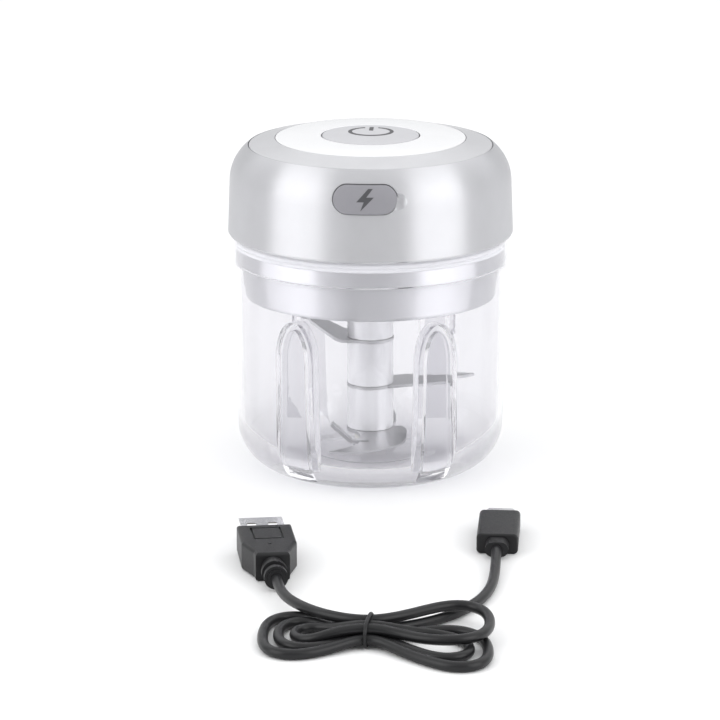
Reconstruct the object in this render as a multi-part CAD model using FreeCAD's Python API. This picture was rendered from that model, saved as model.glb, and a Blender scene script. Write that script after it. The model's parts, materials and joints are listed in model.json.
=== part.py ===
"""Cordless mini food processor: a clear bowl with a three-storey blade stack, a motor head that
lifts off it, and a tied USB charging cable lying on the surface in front.

Millimetres. +Z up, origin at the middle of the bowl's underside, the charging port faces -Y.
Every function makes one sub-part, and save() writes it to parts/NODE.step.
"""
import FreeCAD
import Part
import math
import os

V = FreeCAD.Vector
UP = V(0, 0, 1)

# ---- driving dimensions -----------------------------------------------------------------------
# bowl
BOWL_RIM_Z = 69.9
BOWL_RIM_R = 40.7
BOWL_MID_Z = 38.0
BOWL_MID_R = 40.05
BOWL_CORNER_R = 13.5
BOWL_BASE_R = 25.4
BOWL_FLOOR = 4.0
INNER_CORNER_R = 12.5
INNER_FLAT_R = 24.4
INNER_TOP_R = 38.0
SEAT_Z = 62.2
SEAT_R = 39.5
FOOT_RECESS_R = 21.0
FOOT_RECESS = 0.8
BOSS_R = 5.2
BOSS_TOP = 6.4
PIN_R = 1.6
PIN_TOP = 22.0

# flutes: hollow arched pillars on the bowl's wall, open underneath
FLUTE_ANGLES = (57, 123, 237, 303)
FLUTE_HALF = 6.1
FLUTE_FOOT_HALF = 7.4
FLUTE_SPRING_Z = 38.0
FLUTE_TOP_Z = 50.4
FLUTE_FACE_R = 32.4
FLUTE_TOE_R = 29.0
FLUTE_TOE_Z = 9.5
FLUTE_WALL = 2.3
FLUTE_EDGE = 1.6

# motor head
SHELL_BOTTOM_Z = 70.0
SHELL_BOTTOM_R = 41.4
SHELL_SIDE_R = 40.85
SHELL_WALL = 2.2
SHOULDER_R = 13.0
SHOULDER_Z = 85.2
TRIM_R = 35.5
TRIM_IN_R = 27.6
TRIM_IN_Z = 97.65
PANEL_IN_R = 14.35
PANEL_IN_Z = 98.35
DECK_TOP = 94.0
DECK_THICK = 1.6
DECK_HOLE_R = 16.4
FLANGE_R = 39.1
FLANGE_BOTTOM = 62.3
FLANGE_TOP = 66.7
INSERT_TOP_R = 37.7
INSERT_BOTTOM_R = 36.4
INSERT_BOTTOM = 51.8
INSERT_WALL = 2.0
WELL_R = 10.3
WELL_TOP = 58.0
BOSS_CIRCLE_R = 27.0
BOSS_ANGLES = (45, 135, 225, 315)
SCREW_BOSS_R = 3.5

# button
BUTTON_R = 14.0
BUTTON_EDGE_Z = 98.4
BUTTON_TOP_Z = 98.9
BUTTON_TRAVEL = 1.2

# charging port
PORT_Z = 88.1
PILL_LENGTH = 18.0
PILL_HEIGHT = 8.0
PILL_PROUD = 0.5
PILL_POCKET = 0.9
PILL_GAP = 0.25
SLOT_LENGTH = 10.2
SLOT_HEIGHT = 4.3

# electronics
BOARD_BOTTOM = 89.75
BOARD_THICK = 1.0
BOARD_R = 22.6
SOCKET_MOUTH_Y = -37.6
SOCKET_DEPTH = 7.3
MOTOR_R = 12.2
MOTOR_BOTTOM = 60.6
MOTOR_TOP = 84.6
CELL_R = 9.0
CELL_LENGTH = 34.0
CELL_Y = 23.2
CELL_BOTTOM = 54.4

# blade stack
COLUMN_R = 6.75
COLUMN_BOTTOM = 11.8
MIDDLE_BLADE_Z = 24.2
TOP_BLADE_Z = 38.0
DROOP = 7.0
COLUMN_TOP = 51.3
BLADE_THICK = 0.8
CORE_R = 3.2
HEX_FLATS = 7.0
HEX_TOP = 55.6

# charging cable
CORD_R = 1.4
TIE_X = 6.0
TIE_Y = -163.0
HANK_TOP = 6.3
LEFT_REACH = 29.0
RIGHT_REACH = 33.0
TIE_HALF = 5.8
TIE_LOW = 0.95
TIE_HIGH = 6.35
TIE_WIRE = 1.0
PLUG_A_TURN = 9.0
PLUG_A_EXIT = (-20.0, -124.0, 4.0)
PLUG_C_TURN = -1.5
PLUG_C_EXIT = (38.0, -93.0, 2.9)

# the cord's two leads, from each plug's strain relief into the tied hank
LEAD_A = [
    (-20.0, -124.0, 4.0),
    (-19.1, -129.6, 3.9),
    (-17.5, -136.2, 3.7),
    (-14.6, -143.4, 4.3),
    (-10.6, -150.2, 4.7),
    (-5.2, -156.0, 4.9),
]
LEAD_C = [
    (38.0, -93.0, 2.9),
    (37.9, -100.0, 2.6),
    (37.7, -109.0, 1.6),
    (37.0, -120.0, 1.5),
    (34.6, -131.0, 1.5),
    (29.6, -141.0, 1.5),
    (22.8, -149.0, 1.5),
    (14.6, -155.0, 1.6),
]


# ---- helpers ----------------------------------------------------------------------------------
def cylinder(radius, z0, z1, x=0.0, y=0.0):
    return Part.makeCylinder(radius, z1 - z0, V(x, y, z0), UP)


def ring(outer, inner, z0, z1, x=0.0, y=0.0):
    return cylinder(outer, z0, z1, x, y).cut(cylinder(inner, z0 - 1, z1 + 1, x, y))


def box(x0, x1, y0, y1, z0, z1):
    return Part.makeBox(x1 - x0, y1 - y0, z1 - z0, V(x0, y0, z0))


def turned(shape, degrees, x=0.0, y=0.0):
    copy = shape.copy()
    copy.rotate(V(x, y, 0), UP, degrees)
    return copy


def moved(shape, x, y, z):
    copy = shape.copy()
    copy.translate(V(x, y, z))
    return copy


def fused(shapes):
    whole = shapes[0]
    if len(shapes) > 1:
        whole = whole.multiFuse(shapes[1:])
    return whole.removeSplitter()


def outline(steps):
    """Edges through (a, b) points; a step of two points is an arc via the first to the second."""
    edges = []
    here = steps[0]
    for step in steps[1:]:
        if isinstance(step[0], tuple):
            middle, end = step
            edges.append(Part.Arc(V(*here), V(*middle), V(*end)).toShape())
        else:
            end = step
            edges.append(Part.LineSegment(V(*here), V(*end)).toShape())
        here = end
    if (V(*here) - V(*steps[0])).Length > 1e-6:
        edges.append(Part.LineSegment(V(*here), V(*steps[0])).toShape())
    return Part.Face(Part.Wire(edges))


def radial(step):
    """Put an (r, z) step, or an arc's pair of them, into the XZ plane."""
    if isinstance(step[0], tuple):
        return tuple((r, 0.0, z) for r, z in step)
    return (step[0], 0.0, step[1])


def revolved(steps):
    """Solid of revolution about Z through (r, z) steps."""
    face = outline([radial(step) for step in steps])
    return face.revolve(V(0, 0, 0), UP, 360)


def polar(radius, degrees):
    angle = math.radians(degrees)
    return radius * math.cos(angle), radius * math.sin(angle)


def prism(steps, z0, z1):
    """Solid through (x, y) steps between two heights."""
    flat = []
    for step in steps:
        if isinstance(step[0], tuple):
            flat.append(tuple((x, y, z0) for x, y in step))
        else:
            flat.append((step[0], step[1], z0))
    return outline(flat).extrude(V(0, 0, z1 - z0))


def stadium(length, height, y0, y1, z):
    """Rounded bar lying along X, extruded along Y."""
    half = length / 2 - height / 2
    r = height / 2
    face = outline([
        (-half, y0, z - r),
        (half, y0, z - r),
        ((half + r, y0, z), (half, y0, z + r)),
        (-half, y0, z + r),
        ((-half - r, y0, z), (-half, y0, z - r)),
    ])
    return face.extrude(V(0, y1 - y0, 0))


def hexagon(flats, z0, z1):
    corner = flats / math.sqrt(3)
    points = [polar(corner, 60 * k) for k in range(6)]
    return prism(points, z0, z1)


def rounded(shape, radius, pick):
    """Fillet the edges that pick(edge) accepts."""
    edges = [edge for edge in shape.Edges if pick(edge)]
    return shape.makeFillet(radius, edges)


def sheet(start, heading, moves, thickness, y0, y1):
    """Bent sheet metal: a strip in the XZ plane that turns through arcs, extruded along Y.

    moves holds ("line", length) and ("arc", radius, degrees), a positive turn bending upwards.
    """
    half = thickness / 2
    x, z = start
    angle = math.radians(heading)
    sides = {1: [], -1: []}

    def side_point(x, z, angle, side):
        return (x - side * half * math.sin(angle), y0, z + side * half * math.cos(angle))

    for side in sides:
        sides[side].append(side_point(x, z, angle, side))
    for move in moves:
        if move[0] == "line":
            x += move[1] * math.cos(angle)
            z += move[1] * math.sin(angle)
            for side in sides:
                sides[side].append(side_point(x, z, angle, side))
        else:
            radius, turn = move[1], math.radians(move[2])
            sign = 1 if turn > 0 else -1
            cx = x - sign * radius * math.sin(angle)
            cz = z + sign * radius * math.cos(angle)
            places = []
            for part in (0.5, 1.0):
                a = angle + turn * part
                places.append((cx + sign * radius * math.sin(a), cz - sign * radius * math.cos(a), a))
            for side in sides:
                middle, end = [side_point(px, pz, a, side) for px, pz, a in places]
                sides[side].append((middle, end))
            x, z, angle = places[1]
    steps = list(sides[1])
    back = sides[-1]
    ends = [step[1] if isinstance(step[0], tuple) else step for step in back]
    steps.append(ends[-1])
    for k in range(len(back) - 1, 0, -1):
        if isinstance(back[k][0], tuple):
            steps.append((back[k][0], ends[k - 1]))
        else:
            steps.append(ends[k - 1])
    return outline(steps).extrude(V(0, y1 - y0, 0))


def tube(points, radius):
    """Round cord along straight runs joined by tangent arcs; prints each arc's radius."""
    places = [V(*point) for point in points]
    edges = []
    here = places[0]
    radii = []
    for before, corner, after in zip(places, places[1:], places[2:]):
        run_in = (corner - before).Length
        run_out = (after - corner).Length
        into = (corner - before).normalize()
        out = (after - corner).normalize()
        half_turn = into.getAngle(out) / 2
        reach = 0.45 * min(run_in, run_out)
        radii.append(reach / math.tan(half_turn))
        first = corner - into * reach
        last = corner + out * reach
        bisector = (out - into).normalize()
        middle = corner + bisector * radii[-1] * (1 / math.cos(half_turn) - 1)
        edges.append(Part.LineSegment(here, first).toShape())
        edges.append(Part.Arc(first, middle, last).toShape())
        here = last
    edges.append(Part.LineSegment(here, places[-1]).toShape())
    path = Part.Wire(edges)
    start = (places[1] - places[0]).normalize()
    section = Part.Wire([Part.makeCircle(radius, places[0], start)])
    solid = path.makePipeShell([section], True, False)
    volume = math.pi * radius ** 2 * path.Length
    print("cord radii", [round(r, 1) for r in radii], "length", round(path.Length, 1),
          "volume ratio", round(solid.Volume / volume, 3))
    return solid


def save(name, shape):
    if not shape.isValid():
        print("NOT VALID", name)
    box_ = shape.BoundBox
    print(f"{name:20s} solids {len(shape.Solids):2d}  volume {shape.Volume:10.1f}"
          f"  z {box_.ZMin:6.2f} {box_.ZMax:6.2f}")
    shape.exportStep(f"parts/{name}.step")


# ---- bowl -------------------------------------------------------------------------------------
def bowl_outside():
    """The bowl's outer envelope, solid through."""
    corner_45 = BOWL_CORNER_R * math.sin(math.radians(45))
    return revolved([
        (0, 0),
        (BOWL_BASE_R, 0),
        ((BOWL_BASE_R + corner_45, BOWL_CORNER_R - corner_45), (BOWL_BASE_R + BOWL_CORNER_R, BOWL_CORNER_R)),
        ((BOWL_MID_R, BOWL_MID_Z), (BOWL_RIM_R, BOWL_RIM_Z)),
        (0, BOWL_RIM_Z),
    ])


def bowl_inside():
    """The bowl's hollow: floor, round corner, tapered wall and the seat for the motor head."""
    corner_45 = INNER_CORNER_R * math.sin(math.radians(45))
    corner_z = BOWL_FLOOR + INNER_CORNER_R
    return revolved([
        (0, BOWL_FLOOR),
        (INNER_FLAT_R, BOWL_FLOOR),
        ((INNER_FLAT_R + corner_45, corner_z - corner_45), (INNER_FLAT_R + INNER_CORNER_R, corner_z)),
        (INNER_TOP_R, SEAT_Z),
        (SEAT_R, SEAT_Z),
        (SEAT_R + 0.1, BOWL_RIM_Z + 1),
        (0, BOWL_RIM_Z + 1),
    ])


def arch(inset, y0, y1):
    """Arch outline, facing along Y: legs that spread towards the foot and a tall narrow crown."""
    half = FLUTE_HALF - inset
    foot = FLUTE_FOOT_HALF - inset
    knee = half + (foot - half) / 4
    rise = FLUTE_TOP_Z - FLUTE_SPRING_Z - inset
    spring = V(half, y0, FLUTE_SPRING_Z)
    crown = Part.Ellipse(V(0, y0, FLUTE_SPRING_Z + rise), spring, V(0, y0, FLUTE_SPRING_Z))
    half_turn = Part.ArcOfEllipse(crown, -math.pi / 2, math.pi / 2).toShape()
    ends = [vertex.Point for vertex in half_turn.Vertexes]
    left, right = sorted(ends, key=lambda point: point.x)
    legs = [
        Part.Arc(right, V(knee, y0, FLUTE_SPRING_Z / 2), V(foot, y0, 0)).toShape(),
        Part.LineSegment(V(foot, y0, 0), V(-foot, y0, 0)).toShape(),
        Part.Arc(V(-foot, y0, 0), V(-knee, y0, FLUTE_SPRING_Z / 2), left).toShape(),
    ]
    face = Part.Face(Part.Wire(Part.__sortEdges__([half_turn] + legs)))
    return face.extrude(V(0, y1 - y0, 0))


def flute_depth(back, inset):
    """Side outline of a flute: its face is upright and its toe runs in towards the floor."""
    face_r = FLUTE_FACE_R + inset
    toe_r = FLUTE_TOE_R + inset
    middle_r = face_r - (face_r - toe_r) * 0.25
    face = outline([
        (-FLUTE_FOOT_HALF * 2, face_r, 60.0),
        (-FLUTE_FOOT_HALF * 2, face_r, FLUTE_TOE_Z),
        ((-FLUTE_FOOT_HALF * 2, middle_r, FLUTE_TOE_Z / 2), (-FLUTE_FOOT_HALF * 2, toe_r, 0.0)),
        (-FLUTE_FOOT_HALF * 2, back, 0.0),
        (-FLUTE_FOOT_HALF * 2, back, 60.0),
    ])
    return face.extrude(V(FLUTE_FOOT_HALF * 4, 0, 0))


def on_flute_face(edge):
    middle = edge.valueAt((edge.FirstParameter + edge.LastParameter) / 2)
    return middle.y < FLUTE_FACE_R + 0.01 and middle.z > 0.01 and abs(middle.x) < FLUTE_FOOT_HALF + 0.01


def flute():
    pillar = arch(0, 20.0, 45.0).common(flute_depth(44.0, 0))
    return rounded(pillar, FLUTE_EDGE, on_flute_face)


def flute_pocket():
    """The hollow behind a flute's face; it opens through the bowl's rounded underside."""
    back = BOWL_BASE_R + BOWL_CORNER_R - FLUTE_WALL + 0.4
    return arch(FLUTE_WALL, 20.0, 45.0).common(flute_depth(back, FLUTE_WALL))


def bowl():
    outside = bowl_outside()
    body = outside.cut(bowl_inside())
    pillars = [turned(flute(), angle - 90) for angle in FLUTE_ANGLES]
    body = body.fuse([pillar.common(outside) for pillar in pillars])
    body = body.cut([turned(flute_pocket(), angle - 90) for angle in FLUTE_ANGLES])
    boss = revolved([
        (0, BOWL_FLOOR - 1),
        (BOSS_R + 1.2, BOWL_FLOOR - 1),
        (BOSS_R + 1.2, BOWL_FLOOR),
        ((BOSS_R + 0.35, BOWL_FLOOR + 0.35), (BOSS_R, BOWL_FLOOR + 1.2)),
        (BOSS_R, BOSS_TOP),
        (0, BOSS_TOP),
    ])
    body = body.fuse(boss)
    body = body.cut(cylinder(PIN_R, FOOT_RECESS + 0.8, BOSS_TOP + 1))
    body = body.cut(cylinder(FOOT_RECESS_R, -1, FOOT_RECESS))
    return body.removeSplitter()


def blade_pin():
    """Steel pin moulded into the floor boss, with a rounded tip."""
    pin = cylinder(PIN_R, FOOT_RECESS + 0.8, PIN_TOP)
    return rounded(pin, 0.6, lambda edge: edge.BoundBox.ZMin > PIN_TOP - 0.01)


# ---- motor head: covers -----------------------------------------------------------------------
def shoulder(offset, part):
    """A point of the shell's rounded shoulder, from 0 at the side wall to 1 at the trim ring."""
    centre = SHELL_SIDE_R - SHOULDER_R
    last = math.acos((TRIM_R - centre) / SHOULDER_R)
    radius = SHOULDER_R + offset
    return centre + radius * math.cos(last * part), SHOULDER_Z + radius * math.sin(last * part)


def shell_envelope(offset):
    """Solid inside the shell's outer surface, grown by offset."""
    steps = [
        (0, SHELL_BOTTOM_Z - 2),
        (SHELL_BOTTOM_R + offset, SHELL_BOTTOM_Z - 2),
        (SHELL_BOTTOM_R + offset, SHELL_BOTTOM_Z),
        shoulder(offset, 0),
        (shoulder(offset, 0.5), shoulder(offset, 1)),
        (0, shoulder(offset, 1)[1]),
    ]
    return revolved(steps)


def housing_shell():
    trim_r, trim_z = shoulder(0, 1)
    outer = [
        (SHELL_BOTTOM_R - SHELL_WALL, SHELL_BOTTOM_Z),
        (SHELL_BOTTOM_R - 0.7, SHELL_BOTTOM_Z),
        ((SHELL_BOTTOM_R - 0.2, SHELL_BOTTOM_Z + 0.2), (SHELL_BOTTOM_R, SHELL_BOTTOM_Z + 0.7)),
        shoulder(0, 0),
        (shoulder(0, 0.5), (trim_r, trim_z)),
        (trim_r, DECK_TOP),
        (DECK_HOLE_R, DECK_TOP),
        (DECK_HOLE_R, DECK_TOP - DECK_THICK),
        (shoulder(-SHELL_WALL, 0.8)[0], DECK_TOP - DECK_THICK),
        (shoulder(-SHELL_WALL, 0.4), shoulder(-SHELL_WALL, 0)),
    ]
    shell = revolved(outer)
    posts = []
    for angle in BOSS_ANGLES:
        x, y = polar(BOSS_CIRCLE_R, angle)
        post = cylinder(SCREW_BOSS_R, 66.0, DECK_TOP - 0.5, x, y)
        posts.append(post.cut(cylinder(1.2, 65.0, 82.0, x, y)))
    pilots = []
    for side in (-1, 1):
        x = side * 19.6
        posts.append(cylinder(2.1, BOARD_BOTTOM + BOARD_THICK, DECK_TOP - 0.5, x, 0))
        pilots.append(cylinder(0.8, 88.0, DECK_TOP - 1.0, x, 0))
    shell = shell.fuse(posts)
    pocket = stadium(PILL_LENGTH + 2 * PILL_GAP, PILL_HEIGHT + 2 * PILL_GAP, -50, -30, PORT_Z)
    pocket = pocket.cut(shell_envelope(-PILL_POCKET))
    slot = stadium(SLOT_LENGTH, SLOT_HEIGHT, -50, -30, PORT_Z)
    scoop = Part.makeSphere(4.2, V(PILL_LENGTH / 2 + 0.9, -42.6, PORT_Z))
    return shell.cut([pocket, slot, scoop] + pilots).removeSplitter()


def top_trim_ring():
    """Slanted grey ring that fills the step between the shoulder and the white panel."""
    trim_z = shoulder(0, 1)[1]
    return revolved([
        (TRIM_R - 0.25, DECK_TOP),
        (TRIM_R - 0.25, trim_z - 0.15),
        ((TRIM_R - 0.35, trim_z), (TRIM_R - 0.55, trim_z + 0.1)),
        (TRIM_IN_R + 0.1, TRIM_IN_Z),
        (TRIM_IN_R + 0.1, TRIM_IN_Z - 1.4),
        (TRIM_IN_R - 2.6, TRIM_IN_Z - 1.4),
        (TRIM_IN_R - 2.6, DECK_TOP),
    ])


def top_panel():
    """White annular panel round the button; its skirt clips behind the trim ring's lip."""
    return revolved([
        (PANEL_IN_R, PANEL_IN_Z - 3.0),
        (PANEL_IN_R, PANEL_IN_Z - 0.1),
        (PANEL_IN_R + 0.15, PANEL_IN_Z),
        ((21.0, 98.15), (TRIM_IN_R - 0.1, TRIM_IN_Z + 0.02)),
        (TRIM_IN_R - 0.1, TRIM_IN_Z - 1.35),
        (PANEL_IN_R + 1.6, PANEL_IN_Z - 1.5),
        (PANEL_IN_R + 1.6, PANEL_IN_Z - 3.0),
    ])


def seal_ring():
    """White silicone ring trapped between the insert's flange and its upper lip."""
    return revolved([
        (36.1, FLANGE_TOP),
        (FLANGE_R, FLANGE_TOP),
        ((39.45, 67.3), (39.1, 67.9)),
        ((39.4, 68.6), (39.1, 69.3)),
        (38.8, SHELL_BOTTOM_Z),
        (36.1, SHELL_BOTTOM_Z),
    ])


def lower_housing():
    """Silver stepped insert that drops into the bowl, with the drive well in its underside."""
    corner = 1.6
    shell = revolved([
        (WELL_R, INSERT_BOTTOM),
        (INSERT_BOTTOM_R - corner, INSERT_BOTTOM),
        ((INSERT_BOTTOM_R - 0.35, INSERT_BOTTOM + 0.45), (INSERT_BOTTOM_R + 0.1, INSERT_BOTTOM + corner)),
        (INSERT_TOP_R, FLANGE_BOTTOM),
        (FLANGE_R - 0.2, FLANGE_BOTTOM),
        (FLANGE_R, FLANGE_BOTTOM + 0.2),
        (FLANGE_R, FLANGE_TOP),
        (36.1, FLANGE_TOP),
        (36.1, SHELL_BOTTOM_Z + 0.05),
        (38.6, SHELL_BOTTOM_Z + 0.05),
        (38.6, 71.6),
        (34.1, 71.6),
        (34.1, INSERT_BOTTOM + INSERT_WALL),
        (WELL_R + 1.8, INSERT_BOTTOM + INSERT_WALL),
        (WELL_R + 1.8, WELL_TOP + 2.0),
        (5.6, WELL_TOP + 2.0),
        (5.6, WELL_TOP),
        (WELL_R, WELL_TOP),
    ])
    cuts = []
    posts = []
    for angle in BOSS_ANGLES:
        x, y = polar(BOSS_CIRCLE_R, angle)
        posts.append(cylinder(SCREW_BOSS_R, INSERT_BOTTOM + 0.5, 65.9, x, y))
        cuts.append(cylinder(1.4, INSERT_BOTTOM - 1, 67.0, x, y))
        cuts.append(cylinder(2.6, INSERT_BOTTOM - 1, INSERT_BOTTOM + 2.2, x, y))
    for side in (-1, 1):
        cuts.append(cylinder(1.1, WELL_TOP - 1, WELL_TOP + 3, side * 8.0, 0))
    return shell.fuse(posts).cut(cuts).removeSplitter()


def shaft_seal():
    """Lip seal pressed into the top of the drive well."""
    return ring(5.6, 3.05, WELL_TOP, WELL_TOP + 2.0)


def screw(x, y, head_z, head_r, head_h, shank_r, shank_top):
    """Pan-head screw driven upwards, with a cross recess in its head."""
    head = cylinder(head_r, head_z, head_z + head_h, x, y)
    shank = cylinder(shank_r, head_z + head_h, shank_top, x, y)
    arm = head_r * 0.6
    recess = box(x - arm, x + arm, y - 0.25, y + 0.25, head_z - 1, head_z + head_h * 0.5)
    cross = box(x - 0.25, x + 0.25, y - arm, y + arm, head_z - 1, head_z + head_h * 0.5)
    return head.fuse(shank).cut([recess, cross]).removeSplitter()


def housing_screws():
    screws = []
    for angle in BOSS_ANGLES:
        x, y = polar(BOSS_CIRCLE_R, angle)
        screws.append(screw(x, y, INSERT_BOTTOM + 0.6, 2.3, 1.6, 1.2, 80.0))
    return Part.makeCompound(screws)


# ---- motor head: motor, cell and electronics --------------------------------------------------
def motor_can():
    can = ring(MOTOR_R, MOTOR_R - 0.8, MOTOR_BOTTOM, MOTOR_TOP)
    floor = ring(MOTOR_R, 3.6, MOTOR_BOTTOM, MOTOR_BOTTOM + 0.9)
    collar = ring(3.6, 1.05, MOTOR_BOTTOM + 0.9, MOTOR_BOTTOM + 3.4)
    web = ring(4.4, 3.6, MOTOR_BOTTOM + 0.9, MOTOR_BOTTOM + 2.0)
    cap = ring(4.4, 1.05, MOTOR_BOTTOM + 2.0, MOTOR_BOTTOM + 3.4)
    threads = [cylinder(0.9, MOTOR_BOTTOM - 1, MOTOR_BOTTOM + 2, side * 8.0, 0) for side in (-1, 1)]
    vents = [cylinder(1.6, MOTOR_BOTTOM - 1, MOTOR_BOTTOM + 2, 0, side * 8.0) for side in (-1, 1)]
    return fused([can, floor, web, collar, cap]).cut(threads + vents).removeSplitter()


def motor_end_cap():
    plug = ring(MOTOR_R - 0.8, 1.05, MOTOR_TOP - 1.6, MOTOR_TOP)
    rim = ring(MOTOR_R - 0.3, 1.05, MOTOR_TOP, MOTOR_TOP + 1.0)
    boss = ring(3.6, 1.05, MOTOR_TOP + 1.0, MOTOR_TOP + 2.6)
    return fused([plug, rim, boss])


def motor_magnets():
    """Two curved magnets inside the can."""
    sleeve = ring(MOTOR_R - 0.8, 9.2, 66.0, 81.0)
    gap = box(-2.5, 2.5, -15, 15, 60, 90)
    return sleeve.cut(gap)


def motor_gasket():
    """Rubber washer between the motor and the well."""
    washer = ring(10.0, 4.2, WELL_TOP + 2.0, MOTOR_BOTTOM)
    return washer.cut([cylinder(1.2, 55, 65, side * 8.0, 0) for side in (-1, 1)])


def motor_screws():
    return Part.makeCompound([
        screw(side * 8.0, 0, WELL_TOP - 1.3, 1.8, 1.3, 0.9, MOTOR_BOTTOM + 0.9) for side in (-1, 1)
    ])


def motor_leads():
    """Short wires from the motor's terminals up to the board."""
    return Part.makeCompound([
        cylinder(0.55, MOTOR_TOP + 1.0, BOARD_BOTTOM, side * 8.0, 0) for side in (-1, 1)
    ])


def battery_cell():
    can = cylinder(CELL_R, CELL_BOTTOM, CELL_BOTTOM + CELL_LENGTH - 1.2, 0, CELL_Y)
    can = rounded(can, 0.7, lambda edge: edge.Curve.TypeId == "Part::GeomCircle")
    terminal = cylinder(3.2, CELL_BOTTOM + CELL_LENGTH - 1.2, CELL_BOTTOM + CELL_LENGTH - 0.4, 0, CELL_Y)
    return can.fuse(terminal).removeSplitter()


def battery_holder():
    """Cradle that stands on the insert's floor and clasps the foot of the cell."""
    cup = ring(CELL_R + 1.3, CELL_R, CELL_BOTTOM, CELL_BOTTOM + 11, 0, CELL_Y)
    floor = cylinder(CELL_R + 1.3, INSERT_BOTTOM + INSERT_WALL, CELL_BOTTOM, 0, CELL_Y)
    keyway = box(6.0, 12.0, CELL_Y - 2.6, CELL_Y + 2.6, INSERT_BOTTOM, CELL_BOTTOM + 20)
    return cup.fuse(floor).cut(keyway).removeSplitter()


def battery_tabs():
    """Nickel strips: one over the top terminal, one up the cell's side from its foot."""
    top = box(-2.0, 2.0, CELL_Y - 6, CELL_Y + 2, CELL_BOTTOM + CELL_LENGTH - 0.4, BOARD_BOTTOM)
    side = box(CELL_R + 0.2, CELL_R + 0.5, CELL_Y - 2, CELL_Y + 2, CELL_BOTTOM - 0.3, BOARD_BOTTOM)
    foot = box(6.2, CELL_R + 0.5, CELL_Y - 2, CELL_Y + 2, CELL_BOTTOM - 0.4, CELL_BOTTOM)
    return Part.makeCompound([top, side.fuse(foot).removeSplitter()])


def circuit_board():
    """Round board with a tongue that carries the charging socket at the port."""
    z1 = BOARD_BOTTOM + BOARD_THICK
    board = cylinder(BOARD_R, BOARD_BOTTOM, z1)
    tongue = box(-6.0, 6.0, SOCKET_MOUTH_Y + 1.4, 0, BOARD_BOTTOM, z1)
    landing = box(-4.0, CELL_R + 2.5, 0, CELL_Y + 4.5, BOARD_BOTTOM, z1)
    holes = [cylinder(1.0, BOARD_BOTTOM - 1, z1 + 1, side * 19.6, 0) for side in (-1, 1)]
    return fused([board, tongue, landing]).cut(holes).removeSplitter()


def board_parts():
    """Charge controller, power transistors, choke and capacitors on the board."""
    z1 = BOARD_BOTTOM + BOARD_THICK
    chips = [
        box(-12, -7, -17, -12.5, z1, z1 + 1.5),
        box(8, 13, -15, -10, z1, z1 + 1.2),
        box(-4, 2, -21, -18.5, z1, z1 + 0.9),
        cylinder(2.2, z1, z1 + 1.5, 12.5, 11.5),
    ]
    chips += [box(5.0 + 2.2 * k, 6.2 + 2.2 * k, -20.5, -18.3, z1, z1 + 0.8) for k in range(3)]
    chips += [box(-14.0 + 2.4 * k, -12.6 + 2.4 * k, 11.0, 13.2, z1, z1 + 0.8) for k in range(4)]
    return Part.makeCompound(chips)


def board_screws():
    return Part.makeCompound([
        screw(side * 19.6, 0, BOARD_BOTTOM - 1.1, 1.7, 1.1, 0.8, 92.6) for side in (-1, 1)
    ])


def charge_socket():
    """USB-C receptacle shell hanging under the board's tongue, mouth towards the port."""
    y1 = SOCKET_MOUTH_Y + SOCKET_DEPTH
    outer = stadium(8.94, 3.26, SOCKET_MOUTH_Y, y1, PORT_Z)
    inner = stadium(8.34, 2.66, SOCKET_MOUTH_Y - 1, y1 - 1.0, PORT_Z)
    return outer.cut(inner).removeSplitter()


def socket_tongue():
    y1 = SOCKET_MOUTH_Y + SOCKET_DEPTH - 1.0
    blade = box(-3.35, 3.35, SOCKET_MOUTH_Y + 1.0, y1, PORT_Z - 0.35, PORT_Z + 0.35)
    root = box(-3.35, 3.35, y1 - 1.4, y1, PORT_Z - 1.2, PORT_Z + 1.2)
    return blade.fuse(root).removeSplitter()


def switch_body():
    """Push switch on the board, under the button; its plunger sinks into the round hole."""
    z1 = BOARD_BOTTOM + BOARD_THICK
    return box(-4, 4, -4, 4, z1, z1 + 2.3).cut(cylinder(1.6, z1, z1 + 3))


# ---- drive ------------------------------------------------------------------------------------
def motor_shaft():
    return cylinder(1.0, 57.0, MOTOR_TOP + 3.4)


def motor_rotor():
    """Three-slot laminated rotor."""
    core = ring(8.6, 1.0, 67.0, 80.0)
    slots = []
    for k in range(3):
        slot = box(7.0, 9.5, -1.0, 1.0, 66, 81).fuse(box(3.4, 7.2, -2.6, 2.6, 66, 81))
        slots.append(turned(slot, 120 * k + 30))
    return core.cut(slots).removeSplitter()


def commutator():
    return ring(2.6, 1.0, 80.0, 82.6)


def drive_coupling():
    """Hexagonal socket that spins the blade stack; its stem runs in the shaft seal."""
    cup = cylinder(7.2, 52.2, 56.3).cut(hexagon(HEX_FLATS + 0.2, 52.0, 55.8))
    stem = cylinder(3.0, 56.3, MOTOR_BOTTOM - 0.2)
    lead_in = revolved([(0, 52.1), (4.8, 52.1), (4.1, 52.9), (0, 52.9)])
    return cup.fuse(stem).cut([lead_in, cylinder(1.0, 57.0, 65.0)]).removeSplitter()


# ---- blade stack ------------------------------------------------------------------------------
def blade_shaft():
    """Core of the stack: a collar below, a round core through the storeys, a hexagonal head."""
    collar = cylinder(4.6, 7.0, COLUMN_BOTTOM - 1.0)
    core = cylinder(CORE_R, COLUMN_BOTTOM - 1.0, COLUMN_TOP)
    head = hexagon(HEX_FLATS, COLUMN_TOP, HEX_TOP)
    nose = revolved([(0, COLUMN_TOP), (4.3, COLUMN_TOP), (4.3, HEX_TOP - 0.9), (3.3, HEX_TOP), (0, HEX_TOP)])
    bore = cylinder(PIN_R + 0.08, 6.0, PIN_TOP + 1.5)
    bush_seat = cylinder(2.4, 6.0, 14.0)
    return collar.fuse([core, head.common(nose)]).cut([bore, bush_seat]).removeSplitter()


def pin_bush():
    return ring(2.4, PIN_R + 0.05, 7.0, 14.0)


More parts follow.
